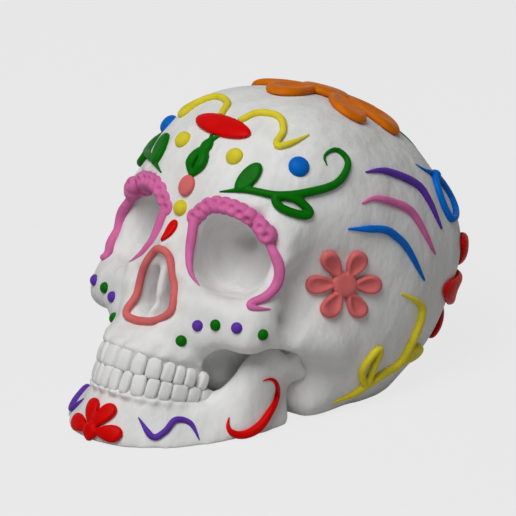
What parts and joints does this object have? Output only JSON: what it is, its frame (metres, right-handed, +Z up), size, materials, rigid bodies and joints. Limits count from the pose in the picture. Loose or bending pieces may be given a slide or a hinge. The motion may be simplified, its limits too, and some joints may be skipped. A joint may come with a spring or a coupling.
{
  "type": "sugar skull",
  "caption": "Decorative sugar skull: a matte white skull with a lower jaw, covered in raised icing flowers, vines, dots and scalloped eye rings.",
  "frame": {"origin": "on the table, under the middle of the skull's outline seen from above", "axes": "+X to the skull's left, +Y from the face to the back of the head, +Z up"},
  "size_m": [0.0928, 0.1526, 0.1009],
  "materials": {
    "bone": "matte",
    "red_icing": "satin",
    "green_icing": "satin",
    "yellow_icing": "satin",
    "blue_icing": "satin",
    "purple_icing": "satin",
    "pink_icing": "satin",
    "coral_icing": "satin",
    "orange_icing": "satin"
  },
  "bodies": {
    "root": {"cranium": "bone", "mandible": "bone", "brow_dot": "yellow_icing", "brow_oval": "coral_icing", "nose_drop": "red_icing", "nose_ring": "coral_icing", "forehead_oval": "red_icing", "forehead_dot_left": "yellow_icing", "forehead_dot_right": "yellow_icing", "temple_dot_left": "blue_icing", "temple_dot_right": "blue_icing", "squiggle_left": "yellow_icing", "squiggle_right": "yellow_icing", "bud": "green_icing", "vine_left": "green_icing", "vine_right": "green_icing", "eye_surround_left": "pink_icing", "eye_surround_right": "pink_icing", "cheek_dot_1_left": "green_icing", "cheek_dot_1_right": "green_icing", "cheek_dot_2_left": "purple_icing", "cheek_dot_2_right": "purple_icing", "cheek_dot_3_left": "green_icing", "cheek_dot_3_right": "green_icing", "cheek_dot_4_left": "purple_icing", "cheek_dot_4_right": "purple_icing", "cheek_dot_5_left": "green_icing", "cheek_dot_5_right": "green_icing", "stroke_upper_left": "purple_icing", "stroke_upper_right": "purple_icing", "stroke_middle_left": "pink_icing", "stroke_middle_right": "pink_icing", "stroke_lower_left": "blue_icing", "stroke_lower_right": "blue_icing", "temple_flower_left": "coral_icing", "temple_flower_right": "coral_icing", "rear_vine_left": "yellow_icing", "rear_vine_right": "yellow_icing", "jaw_squiggle_left": "purple_icing", "jaw_squiggle_right": "purple_icing", "jaw_hook_left": "red_icing", "jaw_hook_right": "red_icing", "chin_flower": "red_icing", "crown_flower": "orange_icing", "back_flower": "red_icing", "back_ribbon_left": "blue_icing", "back_ribbon_right": "blue_icing", "rear_leaf_left": "green_icing", "rear_leaf_right": "green_icing"}
  },
  "joints": []
}
